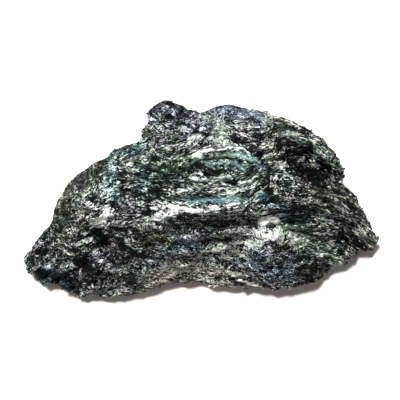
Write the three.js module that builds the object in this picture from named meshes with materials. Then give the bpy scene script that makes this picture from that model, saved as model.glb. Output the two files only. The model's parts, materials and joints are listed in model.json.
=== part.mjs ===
// A lump of raw mica rock, as broken from the vein: one solid of wavy mica sheets, arched over
// the middle of the stone, so that its faces step down in ledges and its ends thin out to edges.
// Millimetres, +Z up. The origin is on the table, under the middle of the stone's bounding box.
// X runs along the stone, -Y is its steep front face and +Y its gently sloping back.

import * as THREE from "three";

// ---- driving dimensions ----------------------------------------------------------------------

const stone = {
  cell: [3.95, 3.95, 3.15], // facet size along x, y and z
  margin: 9, // free space around the stone in the sampling box
  crown: 72, // top of the sampling box
  rimSlope: 1.6, // how fast top and underside part from each other outside the rim
  rimGrowth: 1.5, // makes up for the rounding of the thin rim
  bulge: { front: -0.15, back: 0.2 }, // of the slopes from crest to rim: 0 straight, below 0 hollow
  crestBreadth: { front: 3, back: 16 }, // over which a crest is rounded off
  backFrom: [-30, 10], // y over which the front's values give way to the back's
  swellFade: 10, // swellings fade out over this distance to the rim
  reliefFade: 11, // and so do ledges and lumps
  rimRelief: 0.3, // of which this much is left at the rim
  steep: [0.5, 1.2], // slopes between which a top turns into a wall
};

// How the facets are meshed, and how their corners are then evened out.
const facets = {
  needle: 2, // a grid point with no more neighbours in the stone than this is worn away
  justInside: -0.2, // mm, given to grid points that are filled
  justOutside: 0.2, // and to those that are cleared
  settlePasses: 2,
  even: 0.6, // of the way to the middle of their neighbours
  pullBack: 0.6, // of the way back to the true surface
  longestMove: 0.25, // of a cell, on the way back
};

// The rim is the widest line round the stone: [x, y, height above the table].
const rim = [
  // left tip
  [-106, -48, 7], [-115, -46, 7], [-113, -38, 9], [-114, -31, 13], [-101, -23, 16], [-96, -18, 19],
  // left flank, after a step
  [-90, -13, 20], [-89, -7, 17], [-86, 0, 17], [-79, 9, 20], [-75, 15, 21], [-65, 23, 25],
  // left shoulder
  [-59, 27, 27], [-51, 32, 30], [-41, 34, 33],
  // horn, a block that stands out over the shoulder
  [-37, 36, 36], [-36, 41, 40], [-31, 43, 42], [-29, 51, 42], [-24, 55, 41], [-16, 56, 40],
  [-6, 53, 38],
  // saddle and back edge
  [2, 52, 37], [9, 56, 38], [22, 56, 38], [34, 53, 37], [51, 48, 34], [69, 42, 30], [76, 37, 27],
  // right shoulder, between two notches
  [77, 34, 25], [86, 29, 24], [91, 21, 20], [91, 16, 19], [89, 13, 18],
  // right flank and tip
  [97, 5, 16], [103, -4, 14], [107, -13, 12], [115, -21, 8], [108, -28, 7],
  // front right
  [99, -31, 7], [92, -39, 8], [83, -41, 8], [74, -45, 8], [68, -49, 9],
  // front lobe
  [57, -52, 9], [40, -53, 9], [24, -50, 8],
  // hollow in the front edge
  [15, -51, 7], [5, -50, 7], [-2, -47, 6], [-14, -47, 6], [-25, -50, 6],
  // front left
  [-35, -54, 7], [-54, -57, 7], [-77, -57, 7], [-85, -52, 7], [-96, -49, 7],
];

// Crest lines of the top, from which the faces fall to the rim.
const crests = {
  front: [[-60, -16, 45], [-45, -19, 49], [-28, -23, 53], [-10, -19, 59], [10, -17, 61], [28, -13, 60]],
  right: [[28, -13, 60], [42, -7, 53], [58, -5, 45], [78, -6, 33], [96, -18, 18]],
  leftTip: [[-60, -16, 45], [-75, -27, 31], [-94, -37, 16]],
  leftFlank: [[-60, -16, 45], [-63, 4, 42], [-61, 20, 31]],
  horn: [[-10, -19, 59], [-15, 14, 57], [-22, 42, 50]],
  back: [[28, -13, 60], [25, 20, 57], [15, 44, 47]],
  backRight: [[25, 20, 57], [48, 36, 46], [68, 36, 36]],
  lobe: [[34, -11, 56], [40, -27, 40], [58, -33, 31]],
  crown: [[-10, -19, 59], [8, 2, 60], [25, 20, 57]],
  crownAcross: [[-15, 14, 57], [8, 2, 60], [28, -13, 60]],
  saddle: [[-15, 14, 57], [4, 24, 53], [25, 20, 57]],
};

// Swellings and hollows of the top: centre, half lengths, turn in degrees and height.
const swellings = [
  { name: "lens of thick sheets", at: [14, 12], half: [34, 16], turn: 4, rise: 2 },
  { name: "shelf above the front face", at: [-4, -24], half: [32, 8], turn: 8, rise: 2 },
  { name: "shelf on the lobe", at: [38, -25], half: [12, 8], turn: 10, rise: 3 },
  { name: "front lobe", at: [46, -39], half: [24, 12], turn: 0, rise: 4 },
  { name: "shoulder block", at: [-46, 14], half: [15, 17], turn: 30, rise: 5 },
  { name: "right shoulder knob", at: [83, 24], half: [10, 9], turn: 0, rise: 4 },
  { name: "right terrace", at: [74, -27], half: [17, 9], turn: -22, rise: 3 },
  { name: "foot of the front left", at: [-66, -46], half: [20, 9], turn: -4, rise: 4 },
  { name: "groove beside the horn", at: [5, 42], half: [8, 20], turn: 25, rise: -5 },
  { name: "notch under the horn", at: [-38, 26], half: [8, 13], turn: -50, rise: -6 },
  { name: "pit in the left ridge", at: [-57, -28], half: [10, 7], turn: 10, rise: -10 },
  { name: "hollow right face", at: [64, 20], half: [19, 11], turn: -30, rise: -8 },
  { name: "hollow above the right tip", at: [90, -20], half: [11, 8], turn: -35, rise: -1 },
  { name: "scarp under the front shelf", at: [-12, -34], half: [34, 7], turn: 4, rise: -4 },
  { name: "hollow left of the pit", at: [-84, -30], half: [9, 6], turn: 40, rise: -4 },
];

// The mica sheets lie flat under the middle of the stone and bend down towards both its ends.
const sheets = {
  archMiddle: 8, // x of the highest part
  archReach: 88, // at this distance from there
  archDrop: 30, // they have dropped by this much
  archPower: 2.9, // and higher powers bend them later
  fall: 0.65, // per mm towards the front
  wave: 3.5, // height of the folds
  waveLength: 38,
};

// They break off in ledges. Relief 0 is smooth and 1 makes flat treads, on the top and on the walls.
const ledges = [
  { thickness: 17, onTop: 0.25, onWalls: 0.4, length: 40 },
  { thickness: 8, onTop: 0.5, onWalls: 0.2, length: 26 },
];
const breakShare = 0.3; // of a sheet's thickness, over which a ledge drops
const meanTooth = 0.35; // of a ledge's relief, taken off again so that the stone keeps its size
const unevenness = 0.3; // of the sheets' thicknesses

// Lumps and chips of the faces.
const roughness = [
  { size: [34, 24, 40], height: 3 },
  { size: [14, 10, 14], height: 1.9 },
];

const underside = {
  inset: 8, // from the rim in to where the stone meets the table
  insetPerHeight: 0.4, // and this much more for each mm of the rim's height
  relief: 0.7, // of the ledges and lumps, beside those of the top
  hollow: 3, // height of the shallow hollows between the resting faces
  hollowSize: 30,
  edge: 1.5, // power with which the underside curves in from the rim: 1 is a straight bevel
  wander: 0.4, // how far the outline of a resting face strays, as a share of its radius
  wanderSize: 14,
  // The stone rests on these: where each one is, its radius, and how far it swells down.
  rests: [
    { at: [-66, -24], radius: 18, depth: 7 },
    { at: [70, -12], radius: 18, depth: 7 },
    { at: [14, 22], radius: 22, depth: 5 },
    { at: [4, -32], radius: 12, depth: 5 },
  ],
};

// ---- noise -------------------------------------------------------------------------------------

// A fixed pseudo-random number from 0 to 1 for each whole-number point.
function hash(i, j, k) {
  let h = Math.imul(i, 374761393) ^ Math.imul(j, 668265263) ^ Math.imul(k, 1274126177);
  h = Math.imul(h ^ (h >>> 13), 1103515245);
  h = Math.imul(h ^ (h >>> 16), 2246822519);
  return ((h ^ (h >>> 15)) >>> 0) / 4294967296;
}

const noiseGain = 1.8; // brings the noise up to between -1 and 1

// Smooth noise with a random slope at each whole-number point.
function noise(x, y, z) {
  const [i, j, k] = [Math.floor(x), Math.floor(y), Math.floor(z)];
  const ease = (t) => t * t * (3 - 2 * t);
  const [u, v, w] = [ease(x - i), ease(y - j), ease(z - k)];
  const corner = (a, b, c) => {
    const turn = 2 * Math.PI * hash(a, b, c);
    const up = 2 * hash(b, c + 57, a) - 1;
    const flat = Math.sqrt(1 - up * up);
    return flat * Math.cos(turn) * (x - a) + flat * Math.sin(turn) * (y - b) + up * (z - c);
  };
  const { lerp } = THREE.MathUtils;
  const along = (b, c) => lerp(corner(i, b, c), corner(i + 1, b, c), u);
  const across = (c) => lerp(along(j, c), along(j + 1, c), v);
  return noiseGain * lerp(across(k), across(k + 1), w);
}

// ---- distances in plan ---------------------------------------------------------------------------

// The nearest point of the segment a-b to (x, y): its distance, and the height there.
function nearest(x, y, a, b) {
  const [dx, dy] = [b[0] - a[0], b[1] - a[1]];
  const t = THREE.MathUtils.clamp(((x - a[0]) * dx + (y - a[1]) * dy) / (dx * dx + dy * dy), 0, 1);
  return { far: Math.hypot(x - a[0] - t * dx, y - a[1] - t * dy), height: a[2] + t * (b[2] - a[2]) };
}

// Distance to the nearest of the lines, and a height blended from all of them.
function toLines(lines, x, y) {
  let far = Infinity;
  let [sum, weights] = [0, 0];
  for (const line of lines) {
    for (let i = 1; i < line.length; i++) {
      const here = nearest(x, y, line[i - 1], line[i]);
      const length = Math.hypot(line[i][0] - line[i - 1][0], line[i][1] - line[i - 1][1]);
      const weight = length / (here.far + 2) ** 4;
      far = Math.min(far, here.far);
      sum += weight * here.height;
      weights += weight;
    }
  }
  return { far, height: sum / weights };
}

// Distance in from the rim, negative outside it, and the rim's height near there.
function toRim(x, y) {
  const edge = toLines([[...rim, rim[0]]], x, y);
  const crosses = ([ax, ay], [bx, by]) => ay > y !== by > y && x < ax + ((y - ay) * (bx - ax)) / (by - ay);
  const crossings = rim.filter((a, i) => crosses(a, rim[(i + 1) % rim.length])).length;
  return { inside: stone.rimGrowth + (crossings % 2 ? edge.far : -edge.far), height: edge.height };
}

// ---- the stone's faces -----------------------------------------------------------------------------

function swell(x, y) {
  return swellings.reduce((sum, { at, half, turn, rise }) => {
    const angle = THREE.MathUtils.degToRad(turn);
    const [dx, dy] = [x - at[0], y - at[1]];
    const u = (dx * Math.cos(angle) + dy * Math.sin(angle)) / half[0];
    const v = (dy * Math.cos(angle) - dx * Math.sin(angle)) / half[1];
    const reach = u * u + v * v;
    return reach < 1 ? sum + rise * (1 - reach * reach) : sum;
  }, 0);
}

function topHeight(x, y) {
  const edge = toRim(x, y);
  if (edge.inside <= 0) return edge.height + edge.inside * stone.rimSlope;
  const crest = toLines(Object.values(crests), x, y);
  const { bulge, crestBreadth, backFrom } = stone;
  const atBack = THREE.MathUtils.smoothstep(y, ...backFrom);
  const breadth = THREE.MathUtils.lerp(crestBreadth.front, crestBreadth.back, atBack);
  const t = edge.inside / (edge.inside + crest.far ** 2 / (crest.far + breadth));
  const rounded = t * (1 + THREE.MathUtils.lerp(bulge.front, bulge.back, atBack) * (1 - t));
  const fade = Math.min(1, edge.inside / stone.swellFade);
  return edge.height + (crest.height - edge.height) * rounded + fade * swell(x, y);
}

function baseHeight(x, y) {
  const edge = toRim(x, y);
  if (edge.inside <= 0) return edge.height - edge.inside * stone.rimSlope;
  const { inset, insetPerHeight, hollow, hollowSize, wander, wanderSize } = underside;
  const t = Math.min(1, edge.inside / (inset + insetPerHeight * edge.height));
  const swollen = underside.rests.reduce((sum, { at, radius, depth }) => {
    const wide = radius * (1 + wander * noise(x / wanderSize, y / wanderSize, 9.5));
    const reach = Math.hypot(x - at[0], y - at[1]) / wide;
    return sum + depth * Math.max(0, 1 - reach ** 3);
  }, 0);
  const hollowed = hollow * t * (1 + noise(x / hollowSize, y / hollowSize, 0.5));
  return edge.height * (1 - t) ** underside.edge + hollowed - swollen;
}

// How high (x, y, z) lies in the stack of sheets, in mm.
function sheetHeight(x, y, z) {
  const { archMiddle, archReach, archDrop, archPower, fall, wave, waveLength } = sheets;
  const drop = archDrop * (Math.abs(x - archMiddle) / archReach) ** archPower;
  return z + drop + fall * y + wave * noise(x / waveLength, y / waveLength, 0.5);
}

// How far the ledges at (x, y, z) stand out from the face: steep is 1 on walls and 0 on top.
function ledgeRelief(x, y, z, steep) {
  const height = sheetHeight(x, y, z);
  return ledges.reduce((sum, { thickness, onTop, onWalls, length }) => {
    const n = height / thickness + unevenness * noise(height / thickness, 0.5, thickness);
    const sheet = Math.floor(n);
    const t = n - sheet;
    const tooth = t < 1 - breakShare ? t / (1 - breakShare) : (1 - t) / breakShare;
    const strength = Math.sqrt(Math.max(0, 0.5 + 0.5 * noise(x / length, y / length, sheet * 5.3)));
    return sum + (tooth * strength - meanTooth) * thickness * THREE.MathUtils.lerp(onTop, onWalls, steep);
  }, 0);
}

function rough(x, y, z) {
  return roughness.reduce(
    (sum, { size, height }) => sum + height * noise(x / size[0], y / size[1], z / size[2]),
    0,
  );
}

// Below zero inside the stone, and about the distance in mm to its surface.
function field(x, y, z) {
  const calm = THREE.MathUtils.clamp(toRim(x, y).inside / stone.reliefFade, stone.rimRelief, 1);
  const over = (height, side, share) => {
    const face = height(x, y);
    const slope = Math.hypot(height(x + 1, y) - face, height(x, y + 1) - face);
    const steep = THREE.MathUtils.smoothstep(slope, ...stone.steep);
    const relief = share * calm * (ledgeRelief(x, y, z, steep) + rough(x, y, z));
    return (side * (z - face)) / Math.hypot(1, Math.min(slope, 3)) - relief;
  };
  return Math.max(over(topHeight, 1, 1), over(baseHeight, -1, underside.relief), -z);
}

// ---- surface of the field --------------------------------------------------------------------------

// Wears away whatever is only one grid point thick, from its tip down.
function wearNeedles(values, count) {
  const steps = [1, -1, count[0], -count[0], count[0] * count[1], -count[0] * count[1]];
  let worn = true;
  while (worn) {
    worn = false;
    values.forEach((v, i) => {
      if (v >= 0 || steps.filter((step) => values[i + step] < 0).length > facets.needle) return;
      values[i] = facets.justOutside;
      worn = true;
    });
  }
}

// Fills the corners at which the surface would touch itself along an edge or at a point.
function closeTouches(values, count) {
  const [x, y, z] = [1, count[0], count[0] * count[1]];
  const isIn = (i) => values[i] < 0;
  const checkered = (a, b, c, d) => isIn(a) === isIn(d) && isIn(b) === isIn(c) && isIn(a) !== isIn(b);
  let changed = true;
  const fill = (i) => {
    values[i] = facets.justInside;
    changed = true;
  };
  while (changed) {
    changed = false;
    for (let i = 0; i < values.length - x - y - z; i++) {
      for (const [u, v] of [[x, y], [y, z], [x, z]])
        if (checkered(i, i + u, i + v, i + u + v)) fill(isIn(i) ? i + u : i);
      for (const [a, u, v, w] of [[i, x, y, z], [i + x, -x, y, z], [i + y, x, -y, z], [i + z, x, y, -z]]) {
        const others = [a + u, a + v, a + w, a + u + v, a + u + w, a + v + w];
        const alone = others.every((b) => isIn(b) !== isIn(a));
        if (alone && isIn(a) === isIn(a + u + v + w)) fill(isIn(a) ? a + u : a);
      }
    }
  }
}

// Fills closed pockets under the sheets and drops loose crumbs, so that one closed body is left.
function keepOneBody(values, count) {
  const steps = [1, -1, count[0], -count[0], count[0] * count[1], -count[0] * count[1]];
  const keepConnected = (seed, belongs, otherwise) => {
    const reached = new Uint8Array(values.length);
    const queue = [seed];
    reached[seed] = 1;
    while (queue.length) {
      const here = queue.pop();
      for (const step of steps) {
        const next = here + step;
        if (next < 0 || next >= values.length || reached[next] || !belongs(values[next])) continue;
        reached[next] = 1;
        queue.push(next);
      }
    }
    values.forEach((v, i) => {
      if (belongs(v) && !reached[i]) values[i] = otherwise;
    });
  };
  keepConnected(0, (v) => v >= 0, facets.justInside);
  const deepest = values.reduce((best, v, i) => (v < values[best] ? i : best), 0);
  keepConnected(deepest, (v) => v < 0, facets.justOutside);
}

// For each vertex, the set of those that it shares an edge with.
function neighboursOf(count, triangles) {
  const neighbours = Array.from({ length: count }, () => new Set());
  for (let t = 0; t < triangles.length; t += 3)
    for (let m = 0; m < 3; m++) {
      const [a, b] = [triangles[t + m], triangles[t + ((m + 1) % 3)]];
      neighbours[a].add(b);
      neighbours[b].add(a);
    }
  return neighbours;
}

const pointOf = (positions, i) => new THREE.Vector3().fromArray(positions, 3 * i);

function meanOf(positions, set) {
  const mean = new THREE.Vector3();
  set.forEach((i) => mean.add(pointOf(positions, i)));
  return mean.divideScalar(set.size);
}

const isResting = (p, low) => p.z < low + 0.01;

// Evens the vertices out among their neighbours, and moves them back towards the field's zero level.
// The resting faces stay flat.
function settle(positions, neighbours, low, cell) {
  const { even, pullBack, longestMove } = facets;
  const evened = neighbours.map((set, i) => {
    const mean = meanOf(positions, set);
    const p = pointOf(positions, i);
    if (isResting(p, low)) mean.z = low;
    return p.lerp(mean, even);
  });
  const step = 0.5;
  evened.forEach((p, i) => {
    const here = field(p.x, p.y, p.z);
    const slope = new THREE.Vector3(
      field(p.x + step, p.y, p.z) - here,
      field(p.x, p.y + step, p.z) - here,
      field(p.x, p.y, p.z + step) - here,
    ).divideScalar(step);
    const move = slope.multiplyScalar((-pullBack * here) / Math.max(slope.lengthSq(), 0.5));
    if (!isResting(p, low)) p.add(move.clampLength(0, longestMove * Math.min(...cell)));
    p.z = Math.max(p.z, low);
    positions.splice(3 * i, 3, p.x, p.y, p.z);
  });
}

// Meshes the zero level of the field with one vertex in each grid cell that it crosses.
function surface(low, high, cell) {
  const count = low.map((v, i) => Math.ceil((high[i] - v) / cell[i]) + 1);
  const place = (i, j, k) => [low[0] + i * cell[0], low[1] + j * cell[1], low[2] + k * cell[2]];
  const at = (i, j, k) => (k * count[1] + j) * count[0] + i;
  const values = new Float32Array(count[0] * count[1] * count[2]);
  for (let k = 0; k < count[2]; k++)
    for (let j = 0; j < count[1]; j++)
      for (let i = 0; i < count[0]; i++) values[at(i, j, k)] = field(...place(i, j, k));

  wearNeedles(values, count);
  closeTouches(values, count);
  keepOneBody(values, count);

  const positions = [];
  const vertexOf = new Int32Array(values.length).fill(-1);
  const bits = [0, 1];
  const corners = bits.flatMap((c) => bits.flatMap((b) => bits.map((a) => [a, b, c])));
  const isEdge = (p, q) => p.reduce((sum, v, axis) => sum + Math.abs(v - q[axis]), 0) === 1;
  const edgesFrom = (p, others) => others.filter((q) => isEdge(p, q)).map((q) => [p, q]);
  const edges = corners.flatMap((p, m) => edgesFrom(p, corners.slice(m + 1)));
  for (let k = 0; k < count[2] - 1; k++)
    for (let j = 0; j < count[1] - 1; j++)
      for (let i = 0; i < count[0] - 1; i++) {
        const middle = new THREE.Vector3();
        let crossings = 0;
        for (const [p, q] of edges) {
          const from = values[at(i + p[0], j + p[1], k + p[2])];
          const to = values[at(i + q[0], j + q[1], k + q[2])];
          if (from < 0 === to < 0) continue;
          const start = new THREE.Vector3(...place(i + p[0], j + p[1], k + p[2]));
          const end = new THREE.Vector3(...place(i + q[0], j + q[1], k + q[2]));
          middle.add(start.lerp(end, from / (from - to)));
          crossings++;
        }
        if (!crossings) continue;
        vertexOf[at(i, j, k)] = positions.length / 3;
        positions.push(...middle.divideScalar(crossings));
      }

  // Each grid line that crosses the surface joins its four cells in two triangles.
  const triangles = [];
  const addQuad = (a, b, c, d, flip) => {
    triangles.push(...(flip ? [a, c, b, a, d, c] : [a, b, c, a, c, d]));
  };
  for (let k = 1; k < count[2] - 1; k++)
    for (let j = 1; j < count[1] - 1; j++)
      for (let i = 1; i < count[0] - 1; i++) {
        const here = values[at(i, j, k)] < 0;
        const cellAt = (di, dj, dk) => vertexOf[at(i - di, j - dj, k - dk)];
        if (here !== values[at(i + 1, j, k)] < 0)
          addQuad(cellAt(0, 1, 1), cellAt(0, 0, 1), cellAt(0, 0, 0), cellAt(0, 1, 0), !here);
        if (here !== values[at(i, j + 1, k)] < 0)
          addQuad(cellAt(1, 0, 1), cellAt(1, 0, 0), cellAt(0, 0, 0), cellAt(0, 0, 1), !here);
        if (here !== values[at(i, j, k + 1)] < 0)
          addQuad(cellAt(1, 1, 0), cellAt(0, 1, 0), cellAt(0, 0, 0), cellAt(1, 0, 0), !here);
      }
  const neighbours = neighboursOf(positions.length / 3, triangles);
  const lowest = positions.reduce((least, v, i) => (i % 3 === 2 ? Math.min(least, v) : least), Infinity);
  for (let pass = 0; pass < facets.settlePasses; pass++) settle(positions, neighbours, lowest, cell);
  const geometry = new THREE.BufferGeometry();
  geometry.setAttribute("position", new THREE.Float32BufferAttribute(positions, 3));
  geometry.setIndex(triangles);
  return geometry;
}

// Puts the origin on the table, under the middle of the bounding box.
function centre(geometry) {
  geometry.computeBoundingBox();
  const middle = geometry.boundingBox.getCenter(new THREE.Vector3());
  return geometry.translate(-middle.x, -middle.y, -geometry.boundingBox.min.z);
}

// ---- the part ------------------------------------------------------------------------------------

function micaRock() {
  const span = (axis, pick) => pick(...rim.map((p) => p[axis]));
  const low = [span(0, Math.min) - stone.margin, span(1, Math.min) - stone.margin, -2.5 * stone.cell[2]];
  const high = [span(0, Math.max) + stone.margin, span(1, Math.max) + stone.margin, stone.crown];
  const material = new THREE.MeshStandardMaterial({ color: 0x26332f, roughness: 0.35, metalness: 0.1 });
  material.flatShading = true;
  const mesh = new THREE.Mesh(centre(surface(low, high, stone.cell)), material);
  mesh.name = "mica_rock";
  return mesh;
}

const part = new THREE.Group();
part.add(micaRock());

export default part;
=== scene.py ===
import json
import math

import bmesh
import bpy
import numpy as np
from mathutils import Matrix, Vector

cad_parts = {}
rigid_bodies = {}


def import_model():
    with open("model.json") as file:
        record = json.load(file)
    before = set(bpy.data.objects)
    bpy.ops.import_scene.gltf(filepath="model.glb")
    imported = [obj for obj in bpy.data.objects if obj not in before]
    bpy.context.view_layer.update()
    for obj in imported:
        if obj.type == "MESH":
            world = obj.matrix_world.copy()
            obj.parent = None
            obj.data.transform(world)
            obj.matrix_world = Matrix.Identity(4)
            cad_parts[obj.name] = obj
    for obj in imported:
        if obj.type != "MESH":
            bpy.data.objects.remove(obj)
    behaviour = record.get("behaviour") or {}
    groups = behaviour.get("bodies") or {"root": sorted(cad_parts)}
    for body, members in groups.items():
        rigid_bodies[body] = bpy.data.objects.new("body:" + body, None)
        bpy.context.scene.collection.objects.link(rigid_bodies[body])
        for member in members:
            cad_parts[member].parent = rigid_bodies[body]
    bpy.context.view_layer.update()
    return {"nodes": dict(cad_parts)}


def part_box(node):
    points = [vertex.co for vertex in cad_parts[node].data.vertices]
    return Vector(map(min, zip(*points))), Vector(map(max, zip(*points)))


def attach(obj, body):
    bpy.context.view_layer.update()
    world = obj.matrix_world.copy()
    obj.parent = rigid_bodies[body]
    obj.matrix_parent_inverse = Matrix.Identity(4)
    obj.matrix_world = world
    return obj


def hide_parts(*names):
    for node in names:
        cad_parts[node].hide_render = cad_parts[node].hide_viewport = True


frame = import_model()
mm = 0.001  # lengths below are in millimetres unless they are handed to Blender
print("frame loaded:", sorted(frame["nodes"]))


def addObject(name, data):
    made = bpy.data.objects.new(name, data)
    bpy.context.scene.collection.objects.link(made)
    return made


def addNode(tree, kind, inputs=None, **settings):
    made = tree.nodes.new(kind)
    for name, value in settings.items():
        setattr(made, name, value)
    for key, value in (inputs or {}).items():
        if isinstance(value, bpy.types.NodeSocket):
            tree.links.new(value, made.inputs[key])
        else:
            made.inputs[key].default_value = value
    return made


def calc(tree, operation, a, b=0.0, c=0.0, clamp=False):
    inputs = {0: a, 1: b, 2: c}
    return addNode(tree, "ShaderNodeMath", inputs, operation=operation, use_clamp=clamp).outputs[0]


def times(tree, a, b):
    return calc(tree, "MULTIPLY", a, b)


def plus(tree, value, part, weight):
    return calc(tree, "MULTIPLY_ADD", part, weight, value)


def vector(tree, operation, a, b=None):
    inputs = {0: a} if b is None else {0: a, "Scale" if operation == "SCALE" else 1: b}
    made = addNode(tree, "ShaderNodeVectorMath", inputs, operation=operation)
    return made.outputs["Value" if operation == "DOT_PRODUCT" else "Vector"]


def split(tree, value):
    return list(addNode(tree, "ShaderNodeSeparateXYZ", {0: value}).outputs)


def combine(tree, x, y, z):
    return addNode(tree, "ShaderNodeCombineXYZ", {0: x, 1: y, 2: z}).outputs[0]


def remap(tree, value, low, high, toLow=0.0, toHigh=1.0, smooth=True):
    inputs = {"Value": value, "From Min": low, "From Max": high, "To Min": toLow, "To Max": toHigh}
    kind = "SMOOTHSTEP" if smooth else "LINEAR"
    return addNode(tree, "ShaderNodeMapRange", inputs, interpolation_type=kind).outputs["Result"]


def noise(tree, place, scale=1.0, detail=2.0, roughness=0.5, output=0):
    # output 0 is one number and 1 is three
    inputs = {"Vector": place, "Scale": scale, "Detail": detail, "Roughness": roughness}
    return addNode(tree, "ShaderNodeTexNoise", inputs).outputs[output]


def cells(tree, place, feature="F1"):
    return addNode(tree, "ShaderNodeTexVoronoi", {"Vector": place, "Scale": 1.0}, feature=feature).outputs


def alongSheets(tree, x, y, length, n):
    # where to read a pattern that is drawn out along the sheets
    return combine(tree, calc(tree, "DIVIDE", x, length), calc(tree, "DIVIDE", y, length), n)


def startGeometryTree(name, sockets):
    tree = bpy.data.node_groups.new(name, "GeometryNodeTree")
    sockets = sockets | {"Box Low": "Vector", "Box High": "Vector", "Material": "Material"}
    for label, kind in ({"Geometry": "Geometry"} | sockets).items():
        tree.interface.new_socket(name=label, in_out="INPUT", socket_type="NodeSocket" + kind)
    tree.interface.new_socket(name="Geometry", in_out="OUTPUT", socket_type="NodeSocketGeometry")
    return tree, tree.nodes.new("NodeGroupInput").outputs


def store(tree, geometry, name, value, domain="POINT"):
    inputs = {"Geometry": geometry, "Name": name, "Value": value}
    made = addNode(tree, "GeometryNodeStoreNamedAttribute", inputs, data_type="FLOAT", domain=domain)
    return made.outputs[0]


def setPosition(tree, geometry, **inputs):
    return addNode(tree, "GeometryNodeSetPosition", {"Geometry": geometry, **inputs}).outputs[0]


def endGeometryTree(tree, geometry, position, given):
    # one plain mesh, held inside the rock's own box
    realized = addNode(tree, "GeometryNodeRealizeInstances", {"Geometry": geometry}).outputs[0]
    held = vector(tree, "MINIMUM", vector(tree, "MAXIMUM", position, given["Box Low"]), given["Box High"])
    inBox = setPosition(tree, realized, Position=held)
    painted = addNode(tree, "GeometryNodeSetMaterial", {"Geometry": inBox, "Material": given["Material"]})
    tree.links.new(painted.outputs[0], tree.nodes.new("NodeGroupOutput").inputs[0])
    return tree


def takeMesh(piece):
    mesh = bpy.data.meshes.new_from_object(piece.evaluated_get(bpy.context.evaluated_depsgraph_get()))
    piece.modifiers.clear()
    return mesh


def runGeometryTree(piece, tree, values, material):
    # inputs are set by identifier before the first evaluation
    low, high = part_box("mica_rock")
    values = values | {"Box Low": tuple(low), "Box High": tuple(high), "Material": material}
    modifier = piece.modifiers.new(tree.name, "NODES")
    modifier.node_group = tree
    sockets = [item for item in tree.interface.items_tree if item.in_out == "INPUT"]
    identifiers = {item.name: item.identifier for item in sockets}
    for label, value in values.items():
        modifier[identifiers[label]] = value
    return takeMesh(piece)


# The stack of mica sheets.
sheetStack = {
    "archMiddle": 8,  # x of its highest part
    "archReach": 88,
    "archDrop": 30,  # at that distance from the middle
    "archPower": 2.9,
    "fall": 0.65,  # per mm towards the front
    "wave": 3.0,
    "waveLength": 34,
    "crumple": (0.5, 2.2),  # of small folds, on the top and in the front face
    "crumpleLength": 9,
}


def sheetNormal(tree, position):
    # the sheets dip away from the arch's middle, and towards the front
    s = sheetStack
    off = calc(tree, "SUBTRACT", split(tree, position)[0], s["archMiddle"] * mm)
    off = calc(tree, "DIVIDE", off, s["archReach"] * mm)
    dip = calc(tree, "POWER", calc(tree, "ABSOLUTE", off), s["archPower"] - 1)
    dip = times(tree, dip, s["archPower"] * s["archDrop"] / s["archReach"])
    dip = times(tree, dip, calc(tree, "SIGN", off))
    return vector(tree, "NORMALIZE", combine(tree, dip, s["fall"], 1.0)), dip


# Where the rock is crumpled into lumps instead of lying in sheets.
frontFace = {
    "from": -17,  # y
    "to": -29,
    "middle": -22,  # x
    "halfWidth": (68, 95),
    "flankFrom": -48,  # x where it widens over the left flank
    "flankSlope": 0.7,
    "share": 0.8,
    "levelShare": 0.85,  # in lumps where the stone's face runs along a sheet
    "level": (0.85, 0.95),  # cosine of the angle between the two
    "levelFrom": (18, 32),  # y, at the horn and behind it
    "levelInFront": 0.35,  # how much of it is left in front of there
    "ledgesLost": (0.7, 0.5),  # in the front face, and where the face runs along a sheet
}


def frontShare(tree, position):
    x, y, _ = split(tree, position)
    f = frontFace
    wider = calc(tree, "MAXIMUM", calc(tree, "SUBTRACT", f["flankFrom"] * mm, x), 0.0)
    y = plus(tree, y, wider, -f["flankSlope"])
    share = remap(tree, y, f["from"] * mm, f["to"] * mm, 0.0, f["share"])
    off = calc(tree, "ABSOLUTE", calc(tree, "SUBTRACT", x, f["middle"] * mm))
    return times(tree, share, remap(tree, off, f["halfWidth"][1] * mm, f["halfWidth"][0] * mm))


def sheetHeight(tree, position):
    # how high a point lies in the stack, in metres
    x, y, z = split(tree, position)
    s = sheetStack
    out = calc(tree, "ABSOLUTE", calc(tree, "SUBTRACT", x, s["archMiddle"] * mm))
    out = calc(tree, "POWER", calc(tree, "DIVIDE", out, s["archReach"] * mm), s["archPower"])
    height = plus(tree, z, out, s["archDrop"] * mm)
    height = plus(tree, height, y, s["fall"])
    folds = noise(tree, position, 1 / (s["waveLength"] * mm))
    height = plus(tree, height, calc(tree, "SUBTRACT", folds, 0.5), 2 * s["wave"] * mm)
    small = noise(tree, position, 1 / (s["crumpleLength"] * mm))
    depth = remap(tree, frontShare(tree, position), 0.0, 1.0, *[2 * reach * mm for reach in s["crumple"]])
    return plus(tree, height, calc(tree, "SUBTRACT", small, 0.5), depth)


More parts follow.
